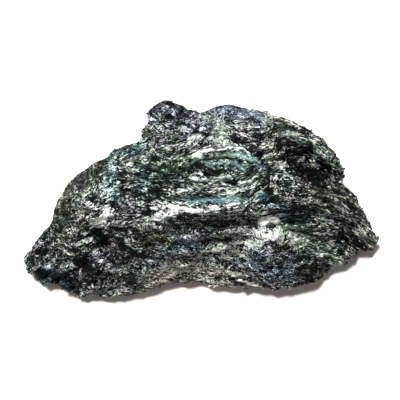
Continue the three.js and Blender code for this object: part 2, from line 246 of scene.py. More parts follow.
stone = {
    "voxel": 0.84,  # of the fine mesh that carries the relief
    "merge": 0.01,
    "smoothing": 8,  # rounds
    "sizes": {  # the relief tree's inputs
        "Ledge Thickness": 4.2,
        "Ledge Depth": 1.7,
        "Leaf Thickness": 1.7,
        "Leaf Depth": 0.5,
        "Scale Length": 6.5,
        "Scale Thickness": 1.7,
        "Scale Depth": 0.7,
        "Lump Depth": 1.0,
        "Block Depth": 2.4,
        "Grow": 2.7,  # outwards, before the relief cuts in
    },
    "ledges": dict(length=16, steep=0.25),  # steep is the share of a step that falls steeply
    "leaves": dict(length=8, steep=0.3),
    "waver": dict(size=0.6, reach=2.0),  # of the steps: a share of their length, and a number of steps
    "fade": (0.35, 0.6),  # noise at which a step is gone, and at which it is whole
    "fadeShift": 5.3,  # so that one step fades elsewhere than the next
    "lumpSize": 9,
    "bend": dict(size=6, scales=1.5),  # of scales and blocks
    "blocks": dict(length=15, thickness=6),
    "knobs": [(8.0, 1.9), (3.4, 1.0)],  # size and depth of round lumps in the front face
    "knobWarp": dict(size=1.6, reach=0.9),  # of the knob's size
}


def makeReliefTree():
    sockets = {label: "Float" for label in stone["sizes"]} | {"Smoothing": "Int"}
    tree, given = startGeometryTree("micaRelief", sockets)
    position = addNode(tree, "GeometryNodeInputPosition").outputs[0]
    normal = addNode(tree, "GeometryNodeInputNormal").outputs[0]
    x, y, _ = split(tree, position)
    even = addNode(tree, "GeometryNodeBlurAttribute", {"Value": position, "Iterations": given["Smoothing"]},
                   data_type="FLOAT_VECTOR").outputs[0]
    height = sheetHeight(tree, position)
    shape = store(tree, setPosition(tree, given["Geometry"], Position=even), "sheet", height)
    front = frontShare(tree, position)
    level = calc(tree, "ABSOLUTE", vector(tree, "DOT_PRODUCT", sheetNormal(tree, position)[0], normal))
    level = remap(tree, level, *frontFace["level"], 0.0, frontFace["levelShare"])
    behind = remap(tree, y, *[v * mm for v in frontFace["levelFrom"]], frontFace["levelInFront"], 1.0)
    level = times(tree, level, behind)
    shape = store(tree, shape, "lumpy", calc(tree, "MAXIMUM", front, level))
    lost = frontFace["ledgesLost"]
    inSheets = plus(tree, plus(tree, 1.0, level, -lost[1]), front, -lost[0])

    def steps(thickness, depth, length, steep):
        # saw teeth along the stack, of a strength that changes along each sheet
        waver = noise(tree, position, 1 / (length * stone["waver"]["size"] * mm))
        n = calc(tree, "DIVIDE", height, thickness)
        n = calc(tree, "ADD", n, times(tree, waver, stone["waver"]["reach"]))
        t = calc(tree, "FRACT", n)
        up = calc(tree, "DIVIDE", t, 1 - steep)
        down = calc(tree, "DIVIDE", calc(tree, "SUBTRACT", 1.0, t), steep)
        tooth = calc(tree, "MINIMUM", up, down)
        step = times(tree, calc(tree, "FLOOR", n), stone["fadeShift"])
        strength = noise(tree, alongSheets(tree, x, y, length * mm, step), detail=1.0)
        strength = remap(tree, strength, *stone["fade"])
        tooth = calc(tree, "SUBTRACT", times(tree, tooth, strength), 1.0)
        return times(tree, tooth, depth)

    def lots(length, thickness, bent):
        # an even random number for each flat cell
        n = calc(tree, "ADD", calc(tree, "DIVIDE", height, thickness), bent)
        return split(tree, cells(tree, alongSheets(tree, x, y, length, n))["Color"])[0]

    def cut(relief, share, depth):
        return calc(tree, "SUBTRACT", relief, times(tree, share, depth))

    relief = steps(given["Ledge Thickness"], given["Ledge Depth"], **stone["ledges"])
    leaves = steps(given["Leaf Thickness"], given["Leaf Depth"], **stone["leaves"])
    relief = times(tree, calc(tree, "ADD", relief, leaves), inSheets)
    warp = stone["knobWarp"]
    for size, depth in stone["knobs"]:
        warped = noise(tree, position, 1 / (warp["size"] * size * mm), 1.0, output=1)
        warped = vector(tree, "ADD", position, vector(tree, "SCALE", warped, warp["reach"] * size * mm))
        far = cells(tree, vector(tree, "SCALE", warped, 1 / (size * mm)))["Distance"]
        relief = cut(relief, times(tree, calc(tree, "POWER", far, 2.0), depth * mm), front)
    bend = noise(tree, position, 1 / (stone["bend"]["size"] * mm))
    scaleBend = times(tree, bend, stone["bend"]["scales"])
    scales = lots(given["Scale Length"], given["Scale Thickness"], scaleBend)
    relief = cut(relief, scales, given["Scale Depth"])
    relief = cut(relief, noise(tree, position, 1 / (stone["lumpSize"] * mm), 3.0), given["Lump Depth"])
    blocks = lots(stone["blocks"]["length"] * mm, stone["blocks"]["thickness"] * mm, bend)
    relief = cut(relief, blocks, given["Block Depth"])
    move = vector(tree, "SCALE", normal, calc(tree, "ADD", relief, given["Grow"]))
    return endGeometryTree(tree, setPosition(tree, shape, Offset=move), position, given)


def makeStone(material):
    mesh = frame["nodes"]["mica_rock"].data.copy()
    bm = bmesh.new()
    bm.from_mesh(mesh)
    bmesh.ops.remove_doubles(bm, verts=bm.verts, dist=stone["merge"] * mm)
    bm.to_mesh(mesh)
    bm.free()
    piece = addObject("micaStone", mesh)
    remesh = piece.modifiers.new("remesh", "REMESH")
    remesh.mode = "VOXEL"
    remesh.voxel_size = stone["voxel"] * mm
    piece.data = takeMesh(piece)
    values = {label: size * mm for label, size in stone["sizes"].items()}
    values["Smoothing"] = stone["smoothing"]
    piece.data = runGeometryTree(piece, makeReliefTree(), values, material)
    piece.data.name = "micaStone"
    piece.data.shade_smooth()
    print("stone:", len(piece.data.vertices), "vertices,", len(piece.data.polygons), "faces")
    return piece


tones = {  # hues of the mica sheets, over the hues that change from streak to streak
    "slate": (1.0, 1.0, 1.0),
    "teal": (0.60, 1.09, 1.18),
    "blue": (0.74, 0.97, 1.42),
    "sage": (0.88, 1.07, 0.84),
    "lime": (0.80, 1.20, 0.50),
    "olive": (1.02, 1.04, 0.84),
    "violet": (0.92, 0.92, 1.38),
    "rust": (1.16, 0.98, 0.88),
    "beige": (1.22, 1.00, 0.82),
    "rose": (1.06, 0.97, 1.03),
}
patchEdge = 1.3  # where a patch ends, in reaches from its path
patchHeights = 0.5  # heights count half, so that a patch runs down a face


def patch(name, path, reach, **look):
    # A patch follows a path over the stone, in mm. Pale is how much of it is painted bright: partly pale
    # mica, partly a painted highlight where flat sheets would catch the lamp. Lift is how much lighter or
    # darker it is than the rest, and calm how much smoother its colour is.
    return dict(name=name, path=path, reach=reach, **look)


patches = [
    # pale mica with painted highlights, where flat sheets would catch the lamp
    patch("ledge, left end", [(-26, -21, 56), (-21, -20, 58), (-14, -19, 59)], 3.3, pale=1.0, tone="rose"),
    patch("ledge", [(-14, -18, 60), (-4, -20, 62), (7, -18, 62)], 1.9, pale=1.1, tone="rose"),
    patch("ledge, right end", [(5, -18, 62), (21, -15, 60), (28, -15, 58)], 1.1, pale=0.8),
    patch("ledge, fork", [(-29, -15, 53), (-17, -16, 59), (-7, -19, 61)], 1.6, pale=0.6, tone="rose"),
    patch("bare patch", [(30, -29, 40), (38, -27, 43), (44, -28, 41)], 5, pale=1.6),
    patch("bare patch, ring", [(34, -21, 46), (39, -20, 47), (44, -21, 42), (44, -25, 41)], 3, pale=1.1),
    patch("hole in the bare patch", [(39, -24, 44), (40, -24, 43)], 3, pale=-0.8, lift=-0.4, tone="sage"),
    patch("star", [(-59, -22, 40), (-56, -15, 45), (-55, -12, 45)], 2.8, pale=1.3),
    patch("star, left arm", [(-67, -9, 42), (-62, -12, 43)], 2.2, pale=1.1),
    patch("glint over the ledge", [(15, -8, 59), (22, -6, 58)], 1.9, pale=1.6),
    patch("edge of the horn", [(-31, 45, 47), (-35, 39, 45)], 4, pale=0.5),
    patch("lens, upper edge", [(-5, 16, 54), (-2, 19, 53), (7, 21, 52), (16, 23, 53), (23, 21, 54),
        (27, 18, 54)], 1.5, pale=1.1, calm=0.5),
    patch("edge over the lens", [(-12, 23, 57), (-6, 27, 55), (3, 30, 51), (5, 28, 49)], 1.7, pale=0.75,
        tone="sage"),
    patch("pale spot left of the lens", [(-26, 19, 55), (-19, 20, 57), (-14, 17, 57)], 4, pale=0.1),
    patch("second pale line", [(-7, 0, 62), (-2, -2, 64), (5, -3, 65), (16, -4, 61)], 1.3, pale=1.2),
    patch("pale dashes", [(-4, 2, 63), (1, 0, 65)], 2, pale=0.4),
    patch("saddle", [(0, 50, 40), (4, 42, 44), (9, 34, 48), (13, 28, 50)], 4, pale=0.05, lift=0.6),
    patch("cream rim", [(29, 52, 41), (38, 51, 38), (47, 45, 42), (58, 41, 39)], 3, pale=0.6, lift=0.5,
        tone="beige"),
    patch("crack in the lobe", [(63, -43, 18), (68, -47, 12)], 1.5, pale=0.7),
    patch("line along the lobe", [(16, -44, 18), (22, -48, 13), (30, -50, 12), (34, -51, 12)], 2, pale=0.7),
    patch("line over the right face", [(30, -1, 56), (44, -7, 50), (58, -7, 44)], 1.3, pale=0.6),
    patch("line down the right flank", [(70, 2, 35), (85, -5, 29), (99, -20, 15)], 1.5, pale=0.45),
    patch("second line down the flank", [(64, -6, 41), (79, -12, 29), (90, -23, 14)], 1.5, pale=0.45),
    patch("left ridge", [(-53, -5, 43), (-49, -11, 46), (-51, -18, 47)], 2.5, pale=0.15),
    patch("olive line on the front", [(-3, -36, 29), (0, -33, 34), (7, -30, 35)], 1.8, pale=0.45,
        tone="olive"),
    patch("streak low on the front", [(-30, -39, 27), (-18, -37, 30)], 2.4, lift=1.3, calm=0.6, tone="blue"),
    patch("slab by the pit", [(-75, -31, 28), (-71, -29, 31), (-66, -27, 31)], 1.8, pale=0.8),
    patch("lower slab by the pit", [(-67, -35, 27), (-63, -31, 26), (-59, -29, 27)], 1.5, pale=0.5,
        tone="sage"),
    patch("pale lump", [(-59, -40, 26), (-56, -41, 26), (-53, -43, 24)], 2.2, pale=0.6),
    patch("rim of the left dome", [(-87, -21, 24), (-85, -28, 24), (-81, -33, 25), (-75, -36, 26)], 1.2,
        pale=0.45, tone="olive"),
    patch("rim of the lower dome", [(-65, -40, 25), (-62, -44, 24), (-65, -49, 17)], 1.0, pale=0.45),
    patch("ring on the front face", [(-44, -22, 48), (-40, -21, 50), (-36, -24, 50), (-35, -28, 44),
        (-38, -30, 40)], 1.1, pale=0.4, tone="olive"),
    patch("specks on the left tip", [(-94, -38, 17), (-89, -39, 18)], 2, pale=0.5),
    patch("foot of the left tip", [(-104, -46, 5), (-92, -51, 5), (-82, -54, 5)], 2.2, lift=1.0, tone="sage"),
    patch("wisps under the ledge", [(-24, -25, 52), (-16, -25, 56), (-7, -25, 50), (1, -25, 47),
        (13, -23, 51)], 1.6, pale=0.25),
    patch("green edge of the lobe", [(42, -36, 38), (51, -33, 35), (60, -35, 29)], 1.8, pale=0.3,
        tone="lime"),
    patch("light terrace", [(48, -25, 38), (60, -28, 30), (73, -32, 21)], 3, pale=0.1, lift=1.0, tone="sage"),
    patch("line on the shoulder", [(70, 28, 34), (77, 23, 33), (80, 17, 29)], 1.3, pale=0.5, tone="sage"),
    patch("layer line on the right", [(48, 8, 43), (64, 8, 37), (79, 3, 31)], 1.1, pale=0.45),
    patch("lower layer line on the right", [(41, -10, 53), (56, -12, 43), (69, -17, 31)], 1.1, pale=0.4),
    # lighter and darker ground, partly the stone's own tone and partly painted light and shade; the gaps and
    # hollows are painted shade
    patch("top", [(-26, 4, 56), (5, 6, 62), (26, 6, 57)], 19, lift=-0.15, calm=0.25, tone="sage"),
    patch("right side of the saddle", [(10, 40, 49), (9, 36, 50), (11, 28, 51)], 6, lift=1.6, calm=0.3,
        tone="sage"),
    patch("ridge on the right block", [(39, 25, 51), (39, 15, 50), (48, 15, 45)], 5, lift=1.8, tone="sage"),
    patch("top of the right block", [(37, 42, 47), (48, 36, 45), (60, 32, 40)], 6, lift=1.1, calm=0.15,
        tone="sage"),
    patch("right tip", [(105, -23, 13), (98, -19, 16)], 4.5, lift=0.9),
    patch("back of the saddle", [(12, 49, 46), (13, 45, 49)], 4, lift=0.7),
    patch("front of the saddle", [(4, 34, 48), (5, 24, 52)], 4, lift=0.9),
    patch("left end of the right block", [(22, 31, 53), (20, 36, 52)], 4, lift=1.1),
    patch("end of the right face", [(77, 11, 28), (76, 1, 33), (85, -11, 26)], 5, lift=0.8),
    patch("right end of the terrace", [(66, -34, 25), (70, -33, 22)], 4, lift=0.8),
    patch("dark top of the lobe", [(48, -42, 30), (53, -40, 30)], 4, lift=-0.8),
    patch("dark top of the horn", [(-22, 39, 54), (-19, 41, 54)], 4, lift=-0.8),
    patch("dark ground right of the star", [(-47, -17, 48), (-48, -24, 42), (-48, -30, 36)], 4, lift=-0.6),
    patch("teal left of the middle", [(-33, 9, 54), (-33, 0, 51)], 7, lift=0.6, tone="teal"),
    patch("back of the right shoulder", [(69, 39, 33), (68, 22, 31)], 4, lift=1.6),
    patch("top of the left face", [(-58, 5, 40), (-57, -3, 42)], 4, lift=1.5),
    patch("front, right of the middle", [(14, -28, 42), (8, -34, 31), (14, -35, 29), (22, -35, 29)], 5,
        lift=1.2, tone="sage"),
    patch("foot of the star", [(-65, -22, 40), (-60, -20, 40), (-57, -23, 36)], 3, pale=1.0),
    patch("bare patch, left end", [(25, -33, 36), (30, -29, 40)], 3.5, pale=0.9),
    patch("gap left of the ledge", [(-30, -12, 52), (-31, -16, 51)], 4.5, lift=-1.8),
    patch("gap over the ledge", [(-8, -8, 62), (2, -8, 62)], 2, lift=-1.4),
    patch("dark ground in the front face", [(-24, -36, 32), (-31, -37, 32), (-39, -35, 32), (-36, -31, 40)],
        4.5, lift=-1.7),
    patch("dark ground over the right terrace", [(54, -11, 44), (66, -16, 36)], 4, lift=-0.8),
    patch("dark ground on the lobe", [(41, -34, 41), (45, -34, 38), (51, -34, 35)], 3.5, lift=-1.3),
    patch("dark ground low on the lobe", [(64, -42, 20), (70, -40, 16), (75, -36, 17)], 4, lift=-0.8),
    patch("end of the shoulder", [(-42, 32, 36), (-36, 31, 39), (-38, 26, 41)], 3, pale=0.2, lift=1.2,
        tone="teal"),
    patch("gap right of the ridge", [(38, -4, 52), (45, -4, 49), (57, -5, 43)], 3, lift=-1.1),
    patch("gap under the ledge", [(-7, -23, 61), (-2, -23, 62)], 2.4, lift=-1.2),
    patch("pale ground left of the ledge", [(-31, -20, 52), (-28, -21, 54)], 2.5, pale=0.2, lift=0.8),
    patch("gap in the right terrace", [(62, -21, 34), (68, -20, 31)], 3, lift=-1.0),
    patch("pale ground low in the front", [(2, -35, 32), (7, -35, 31)], 3, lift=1.3, tone="sage"),
    patch("dark ground left of the lobe", [(11, -30, 37), (15, -30, 37)], 3, lift=-1.2),
    patch("pale ground under the lens", [(2, -2, 64), (14, -1, 63)], 2.2, lift=1.3),
    patch("gap over the ledge, left", [(-9, -16, 60), (-2, -16, 61)], 1.6, lift=-1.2),
    patch("gap in the end of the terrace", [(74, -32, 20), (84, -31, 14)], 3, lift=-1.2),
    patch("pale ground on the flank", [(73, -13, 31), (78, -13, 28)], 3, lift=1.0),
    patch("gap beside the star", [(-54, -10, 44), (-48, -12, 47)], 3, lift=-0.9),
    patch("gap low left of the ledge", [(-42, -19, 50), (-37, -20, 50)], 3, lift=-1.0),
    patch("dark end of the back rim", [(28, 41, 50), (34, 40, 50)], 3, lift=-1.3),
    patch("pale edge of the right block", [(37, 33, 50), (42, 32, 49)], 3, lift=1.3, tone="sage"),
    patch("pale ground in the right face", [(48, 28, 43), (50, 21, 40)], 3, lift=1.0),
    patch("gap left of the lens", [(-29, 14, 55), (-21, 15, 57)], 3, lift=-1.2),
    patch("dark ground under the left dome", [(-75, -34, 27), (-75, -40, 25)], 4.5, lift=-0.9),
    patch("foot of the front, left", [(-82, -36, 20), (-62, -46, 18), (-42, -45, 20)], 13, lift=-0.25,
        calm=0.3),
    patch("foot of the front, right", [(24, -50, 10), (45, -50, 12), (62, -47, 12)], 9, lift=-0.2, calm=0.2),
    # coloured bands
    patch("lens, second band", [(-9, 7, 61), (-3, 12, 58), (10, 17, 54), (21, 17, 55), (27, 13, 56)], 2.2,
        lift=0.8, calm=0.75, tone="sage"),
    # painted shade in the gap
    patch("gap in the lens", [(-7, 6, 61), (1, 13, 57), (13, 15, 56), (22, 12, 57)], 1.6, lift=-1.5,
        calm=0.5),
    patch("lens, third band", [(2, 7, 62), (11, 11, 58), (18, 9, 58), (24, 6, 59)], 2.2, lift=1.0, calm=0.75,
        tone="teal"),
    # painted shade in the hollow
    patch("hollow under the lens", [(-4, 7, 62), (2, 4, 63), (8, 2, 63)], 2.2, lift=-1.2, calm=0.3),
    patch("lime streak", [(-23, 6, 58), (-16, 8, 59), (-10, 13, 58), (-4, 16, 55)], 2.6, pale=0.2, lift=0.9,
        tone="lime"),
    patch("green band on the left", [(-36, 15, 50), (-31, 17, 53), (-22, 14, 57)], 3, lift=0.2, tone="sage"),
    patch("band over the ledge", [(-10, -13, 60), (2, -13, 60), (12, -13, 60), (24, -13, 59)], 2.8, lift=1.1,
        calm=0.75, tone="teal"),
    patch("horn", [(-25, 49, 49), (-13, 43, 51), (-2, 37, 51)], 12, lift=0.15, calm=0.15, tone="violet"),
    patch("horn, dark band", [(-21, 53, 46), (-8, 48, 45), (3, 42, 43), (8, 32, 47)], 2.6, lift=-1.3),
    patch("horn, lower dark band", [(-25, 44, 51), (-13, 38, 54), (-3, 31, 54), (1, 28, 53)], 2.6, lift=-1.3),
    patch("horn, pale band", [(-15, 51, 46), (-3, 47, 41), (6, 35, 47)], 2.0, pale=0.15, lift=1.1),
    patch("back rim", [(10, 51, 45), (22, 48, 46), (31, 43, 49)], 9, lift=1.0, calm=0.3, tone="blue"),
    patch("dark layer on the right", [(16, 30, 52), (27, 22, 53), (36, 13, 52), (45, 10, 45)], 3, lift=-1.4),
    patch("teal layer on the right", [(21, 17, 55), (36, 11, 51), (51, 9, 42)], 3.5, lift=0.9, calm=0.3,
        tone="teal"),
    patch("ridge right of the lens", [(22, -2, 59), (28, 0, 58), (29, -4, 57)], 2.8, pale=0.4, lift=1.3,
        tone="sage"),
    patch("teal, right of the ledge", [(34, -8, 54), (44, -14, 51), (57, -18, 38)], 6, lift=-0.4, calm=0.4,
        tone="teal"),
    patch("shoulder", [(-51, 28, 34), (-45, 30, 36), (-40, 24, 41)], 6, lift=0.2, calm=0.3, tone="teal"),
    patch("left face", [(-56, 18, 34), (-56, 3, 41), (-54, -3, 43)], 8, lift=0.8, calm=0.3, tone="teal"),
    # painted shade in the gap
    patch("gap in the left face", [(-51, 20, 37), (-46, 7, 46), (-47, -4, 44)], 3.5, lift=-1.1),
    patch("dark, left of the middle", [(-36, 5, 52), (-27, -2, 54), (-18, -7, 59)], 5, lift=-1.0),
    patch("wedge in the front face", [(-22, -31, 35), (-18, -29, 44)], 4, lift=0.3, tone="sage"),
    patch("left tip", [(-98, -45, 11), (-89, -48, 10), (-79, -52, 13)], 7, lift=-0.3, calm=0.3, tone="teal"),
    patch("low front", [(-19, -35, 34), (-10, -32, 35), (-2, -30, 37)], 7, lift=-0.5, tone="blue"),
    patch("front lobe", [(30, -41, 30), (39, -43, 26), (48, -45, 23)], 9, lift=-0.25, tone="blue"),
    patch("right terrace", [(48, -23, 39), (57, -24, 35), (66, -26, 28), (73, -30, 20), (83, -36, 12)], 8,
        lift=0.35, calm=0.3, tone="sage"),
    # painted shade on the face that turns away from the lamp, over a rust tone
    patch("right face", [(42, 25, 49), (56, 21, 34), (68, 17, 28), (77, 11, 28)], 14, lift=-1.0, calm=0.3,
        tone="rust"),
    patch("right shoulder", [(77, 23, 33), (84, 21, 27), (80, 16, 28)], 8, lift=0.3, tone="sage"),
    patch("right flank", [(72, -1, 35), (82, -3, 30), (92, -10, 23), (97, -20, 15)], 13, lift=-0.55, calm=0.3,
        tone="rust"),
    # painted shade in the hollow
    patch("hollow over the right tip", [(83, -20, 21), (89, -23, 14), (93, -26, 12)], 6, lift=-1.4),
    patch("front edge", [(-31, -48, 15), (-18, -42, 21), (-5, -38, 20), (0, -43, 16), (13, -45, 16)], 5,
        lift=1.2, tone="beige"),
    patch("front edge, foot", [(-32, -51, 11), (-20, -45, 13), (-2, -45, 11), (13, -49, 11), (28, -51, 11)],
        7, lift=0.55, tone="beige"),
    # painted shade in the pit
    patch("pit", [(-62, -24, 33), (-55, -27, 33)], 5, lift=-2.4),
    patch("dark lobe on the left", [(-70, -39, 24), (-65, -45, 23)], 6, lift=-1.1),
    patch("dark left tip", [(-104, -34, 13), (-95, -30, 19)], 5, lift=-1.2),
    patch("blue sheet on the left tip", [(-98, -43, 12), (-88, -45, 14), (-82, -49, 14)], 4, lift=-0.5,
        calm=0.4, tone="blue"),
    # painted shade in the hollow, over a lime tone
    patch("hollow in the front face", [(-29, -29, 44), (-21, -30, 36)], 4.5, lift=-1.0, tone="lime"),
    # painted light, lightening the front face that the lamp leaves dim
    patch("front face", [(-35, -34, 36), (-15, -32, 38), (8, -31, 38), (28, -30, 36)], 11, lift=0.5),
    # painted shade in the hollow
    patch("low hollow in the front face", [(-47, -32, 33), (-41, -35, 32)], 4, lift=-1.0),
    patch("left flank", [(-89, -13, 23), (-82, -4, 33), (-73, 6, 37), (-67, 16, 31)], 13, lift=-0.15,
        calm=0.4, tone="olive"),
    patch("left flank, foot", [(-85, -23, 25), (-78, -19, 31)], 9, lift=-0.1, calm=0.2, tone="olive"),
    patch("end of the lobe", [(57, -41, 31), (70, -39, 17)], 7, lift=-0.8),
    # the back
    patch("back", [(-80, 25, 14), (-30, 45, 15), (20, 52, 15), (75, 36, 14)], 24, lift=-0.3, calm=0.25),
    patch("teal layer on the back", [(-60, 38, 28), (-20, 52, 30), (20, 56, 29), (55, 47, 28)], 6, lift=0.2,
        calm=0.3, tone="teal"),
    patch("dark layer on the back", [(-70, 28, 18), (-30, 46, 20), (15, 53, 20), (60, 43, 18)], 4, lift=-1.0),
    patch("sage layer on the back", [(-65, 25, 7), (-25, 42, 9), (20, 48, 9), (60, 38, 8)], 6, lift=0.3,
        calm=0.3, tone="sage"),
    patch("pale line on the back", [(-46, 44, 23), (-10, 54, 24), (12, 56, 25)], 1.6, pale=0.9),
    patch("short pale line on the back", [(28, 54, 14), (52, 46, 13)], 1.6, pale=0.9),
    patch("violet patch on the back", [(28, 53, 24), (46, 47, 22)], 8, lift=0.3, tone="violet"),
    patch("olive patch on the back", [(-56, 34, 20), (-40, 42, 22)], 9, lift=0.2, tone="olive"),
    patch("blue patch on the back", [(-12, 47, 12), (4, 50, 11)], 7, lift=0.1, tone="blue"),
    # painted shade under the ledge
    patch("under the ledge", [(-30, -26, 49), (-15, -24, 57), (-2, -25, 58), (12, -23, 56), (26, -21, 53)],
        3.5, lift=-0.3),
]


def distanceTo(points, path):
    # from each point to the nearest stretch of the path
    scale = np.array([1, 1, patchHeights])
    points, path = points * scale, np.array(path, float) * scale
    best = np.full(len(points), np.inf)
    for a, b in zip(path[:-1], path[1:]):
        along = b - a
        t = np.clip(((points - a) @ along) / (along @ along), 0, 1)
        best = np.minimum(best, np.linalg.norm(points - a - t[:, None] * along, axis=1))
    return best


def markPatches(piece):
    count = len(piece.data.vertices)
    points = np.zeros(3 * count, np.float32)
    piece.data.vertices.foreach_get("co", points)
    points = points.reshape(-1, 3) / mm
    tint = np.tile(np.array(tones["slate"]), (count, 1))
    marks = {label: np.zeros(count) for label in ("pale", "lift", "calm")}
    for row in patches:
        t = np.clip(1 - distanceTo(points, row["path"]) / (patchEdge * row["reach"]), 0, 1)
        weight = t * t * (3 - 2 * t)
        for label, values in marks.items():
            values += weight * row.get(label, 0)
        if "tone" in row:
            tint += weight[:, None] * (np.array(tones[row["tone"]]) - tint)
    attribute = piece.data.attributes.new("tint", "FLOAT_COLOR", "POINT")
    attribute.data.foreach_set("color", np.c_[tint, np.ones(count)].astype(np.float32).ravel())
    for label, values in marks.items():
        attribute = piece.data.attributes.new(label, "FLOAT", "POINT")
        attribute.data.foreach_set("value", values.astype(np.float32))
    print("colour:", len(patches), "patches")


flakes = {
    "blades": {
        "pieces": 2,
        "corners": 6,
        "perSquareCentimetre": 26,
        "size": (0.9, 4.4),  # half lengths
        "breadth": 0.32,  # of the length
        "sink": 0.12,
        "hide": 0.9,  # of the length that would stand out
        "leanToSheets": 0.45,  # 0 lies on the stone's face, 1 in the plane of the sheets
        "tilt": 0.12,
        "turn": 0.3,
        "spread": 1.0,  # how much they differ in brightness
    },
    "crumbs": {
        "pieces": 1,
        "corners": 4,
        "perSquareCentimetre": 46,
        "size": (0.4, 1.5),
        "breadth": 0.3,
        "sink": 0.0,
        "hide": 0.8,
        "leanToSheets": 0.3,
        "tilt": 0.25,
        "turn": 0.6,
        "spread": 4.0,
    },
}
# outlines, at a half length of 1
flakeShape = {"count": 7, "seed": 4, "uneven": 0.3, "radius": (0.6, 1.0), "depth": 0.5}
scatter = {
    "lumpyLean": -0.8,  # in the lumps they keep less to the sheets
    "lumpyTurn": 1.4,
    "sizePower": 2.2,  # many small ones for each large one
    "height": 0.8,  # of the half length
    "turnSeed": 11,
    "lotSeed": 23,
    "sizeSeed": 37,
}


def makeFlakeShapes(kind):
    # flat on top, and running down to a point that is buried in the stone
    random = np.random.default_rng(flakeShape["seed"])
    collection = bpy.data.collections.new(kind)
    count = flakes[kind]["corners"]
    uneven = flakeShape["uneven"]
    for i in range(flakeShape["count"]):
        angles = (np.arange(count) + random.uniform(-uneven, uneven, count)) * 2 * math.pi / count
        radii = random.uniform(*flakeShape["radius"], count)
        top = [(r * math.cos(a), r * math.sin(a), 0.0) for r, a in zip(radii, angles)]
        sides = [(count, (k + 1) % count, k) for k in range(count)]
        mesh = bpy.data.meshes.new(f"{kind}Shape{i}")
        mesh.from_pydata(top + [(0, 0, -flakeShape["depth"])], [], [tuple(range(count))] + sides)
        collection.objects.link(bpy.data.objects.new(mesh.name, mesh))
    return collection


def makeFlakeTree():
    labels = ("Density", "Smallest", "Largest", "Breadth", "Sink", "Hide", "Lean", "Tilt", "Turn", "Spread")
    sockets = {label: "Float" for label in labels} | {"Shapes": "Collection", "Seed": "Int"}
    tree, given = startGeometryTree("micaFlakes", sockets)

    def draw(low, high, shift):
        inputs = {2: low, 3: high, "Seed": calc(tree, "ADD", given["Seed"], shift)}
        return addNode(tree, "FunctionNodeRandomValue", inputs, data_type="FLOAT").outputs[1]

    points, face = addNode(tree, "GeometryNodeDistributePointsOnFaces", {
        "Mesh": given["Geometry"], "Density": given["Density"], "Seed": given["Seed"]}).outputs[:2]
    position = addNode(tree, "GeometryNodeInputPosition").outputs[0]
    across, dip = sheetNormal(tree, position)
    across = vector(tree, "SCALE", across, calc(tree, "SIGN", vector(tree, "DOT_PRODUCT", across, face)))
    lumpy = addNode(tree, "GeometryNodeInputNamedAttribute", {"Name": "lumpy"}, data_type="FLOAT").outputs[0]
    lean = times(tree, given["Lean"], plus(tree, 1.0, lumpy, scatter["lumpyLean"]))
    leaning = {"Factor": lean, 4: face, 5: across}
    normal = addNode(tree, "ShaderNodeMix", leaning, data_type="VECTOR").outputs[1]
    jitter = addNode(tree, "FunctionNodeRandomValue", {0: (-1, -1, -1), 1: (1, 1, 1), "Seed": given["Seed"]},
                     data_type="FLOAT_VECTOR").outputs[0]
    normal = vector(tree, "ADD", normal, vector(tree, "SCALE", jitter, given["Tilt"]))
    upright = addNode(tree, "FunctionNodeAlignRotationToVector", {"Vector": normal}, axis="Z").outputs[0]
    along = combine(tree, 1.0, 0.0, times(tree, dip, -1.0))
    lying = addNode(tree, "FunctionNodeAlignRotationToVector", {"Rotation": upright, "Vector": along},
                    axis="X", pivot_axis="Z").outputs[0]
    turn = plus(tree, given["Turn"], lumpy, scatter["lumpyTurn"])
    turn = combine(tree, 0.0, 0.0, draw(times(tree, turn, -1.0), turn, scatter["turnSeed"]))
    turned = addNode(tree, "FunctionNodeRotateRotation", {"Rotation": lying, "Rotate By": turn},
                     rotation_space="LOCAL").outputs[0]
    lot = draw(0.0, 1.0, scatter["lotSeed"])
    size = calc(tree, "POWER", draw(0.0, 1.0, scatter["sizeSeed"]), scatter["sizePower"])
    size = remap(tree, size, 0.0, 1.0, given["Smallest"], given["Largest"], smooth=False)
    scale = combine(tree, size, times(tree, size, given["Breadth"]), times(tree, size, scatter["height"]))
    # a flake that stands out from the stone's face sits deeper
    level = vector(tree, "DOT_PRODUCT", vector(tree, "NORMALIZE", normal), face)
    standing = calc(tree, "SUBTRACT", 1.0, times(tree, level, level))
    standing = calc(tree, "SQRT", calc(tree, "MAXIMUM", standing, 0.0))
    deep = plus(tree, given["Sink"], times(tree, standing, size), given["Hide"])
    sunk = vector(tree, "SCALE", face, times(tree, deep, -1.0))
    shapes = addNode(tree, "GeometryNodeCollectionInfo", {"Collection": given["Shapes"],
                     "Separate Children": True, "Reset Children": True}).outputs[0]
    scattered = addNode(tree, "GeometryNodeInstanceOnPoints", {
        "Points": setPosition(tree, points, Offset=sunk), "Instance": shapes, "Pick Instance": True,
        "Rotation": turned, "Scale": scale}).outputs[0]
    marked = store(tree, scattered, "lot", lot, "INSTANCE")
    marked = store(tree, marked, "spread", given["Spread"], "INSTANCE")
    return endGeometryTree(tree, marked, position, given)


def makeFlakes(name, kind, seed, stonePiece, tree, shapes, material):
    f = flakes[kind]
    piece = addObject(name, stonePiece.data.copy())
    mesh = runGeometryTree(piece, tree, {
        "Shapes": shapes, "Seed": seed, "Density": f["perSquareCentimetre"] * 1e4,  # per square metre
        "Smallest": f["size"][0] * mm, "Largest": f["size"][1] * mm, "Breadth": f["breadth"],
        "Sink": f["sink"] * mm, "Hide": f["hide"], "Lean": f["leanToSheets"], "Tilt": f["tilt"],
        "Turn": f["turn"], "Spread": f["spread"]}, material)
    piece.data = mesh
    mesh.name = name
    triangles = sum(len(face.vertices) - 2 for face in mesh.polygons)
    print(name, len(mesh.polygons), "faces,", triangles, "triangles")
    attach(piece, "root")


